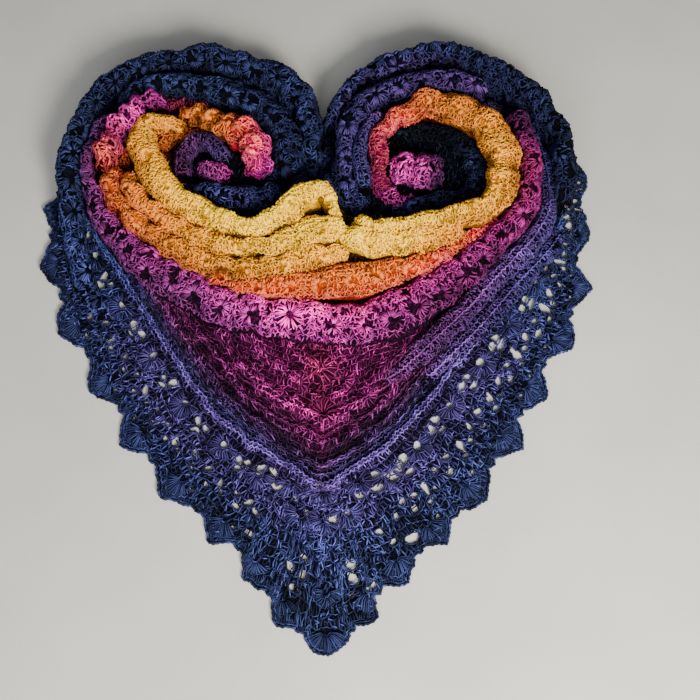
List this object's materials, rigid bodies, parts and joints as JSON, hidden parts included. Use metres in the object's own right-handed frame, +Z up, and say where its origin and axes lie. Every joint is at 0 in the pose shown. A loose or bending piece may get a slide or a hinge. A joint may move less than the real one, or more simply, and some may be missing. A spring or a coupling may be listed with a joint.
{
  "type": "crochet shawl",
  "caption": "Triangular crochet shawl in gradient yarn with a scalloped lace border, laid on a surface in the shape of a heart, its wings wound into coils.",
  "frame": {"origin": "on the surface that the shawl lies on, under the middle of its bounding box", "axes": "+X to the side of the coil that is on the right in the picture, +Y from the corner of the triangle towards the coils, +Z up"},
  "size_m": [0.4992, 0.5392, 0.0519],
  "materials": {
    "navy_lace": "crocheted lace, matt, navy with a violet and a pink row",
    "dark_layers": "crocheted yarn in shade, matt",
    "navy_yarn": "crocheted yarn, matt",
    "violet_yarn": "crocheted yarn, matt",
    "purple_yarn": "crocheted yarn, matt",
    "magenta_yarn": "crocheted yarn, matt",
    "pink_yarn": "crocheted yarn, matt",
    "coral_yarn": "crocheted yarn, matt",
    "orange_yarn": "crocheted yarn, matt",
    "yellow_yarn": "crocheted yarn, matt"
  },
  "bodies": {
    "root": {"lace_panel": "navy_lace", "hidden_layers": "dark_layers", "magenta_fold": "magenta_yarn", "navy_rim_left": "navy_yarn", "navy_band_left": "navy_yarn", "pink_ruffle": "pink_yarn", "orange_outer_fold": "orange_yarn", "orange_inner_fold": "orange_yarn", "orange_swag": "coral_yarn", "yellow_collar": "yellow_yarn", "ribbon_right": "yellow_yarn", "coral_ruffle": "coral_yarn", "purple_curl": "purple_yarn", "magenta_tongue": "magenta_yarn", "navy_bunch": "navy_yarn", "navy_rim_right": "navy_yarn", "violet_roll": "violet_yarn", "violet_inner_roll": "violet_yarn", "navy_ring": "navy_yarn", "magenta_core": "magenta_yarn", "violet_pleat_upper": "violet_yarn", "violet_pleat_lower": "violet_yarn"}
  },
  "joints": []
}
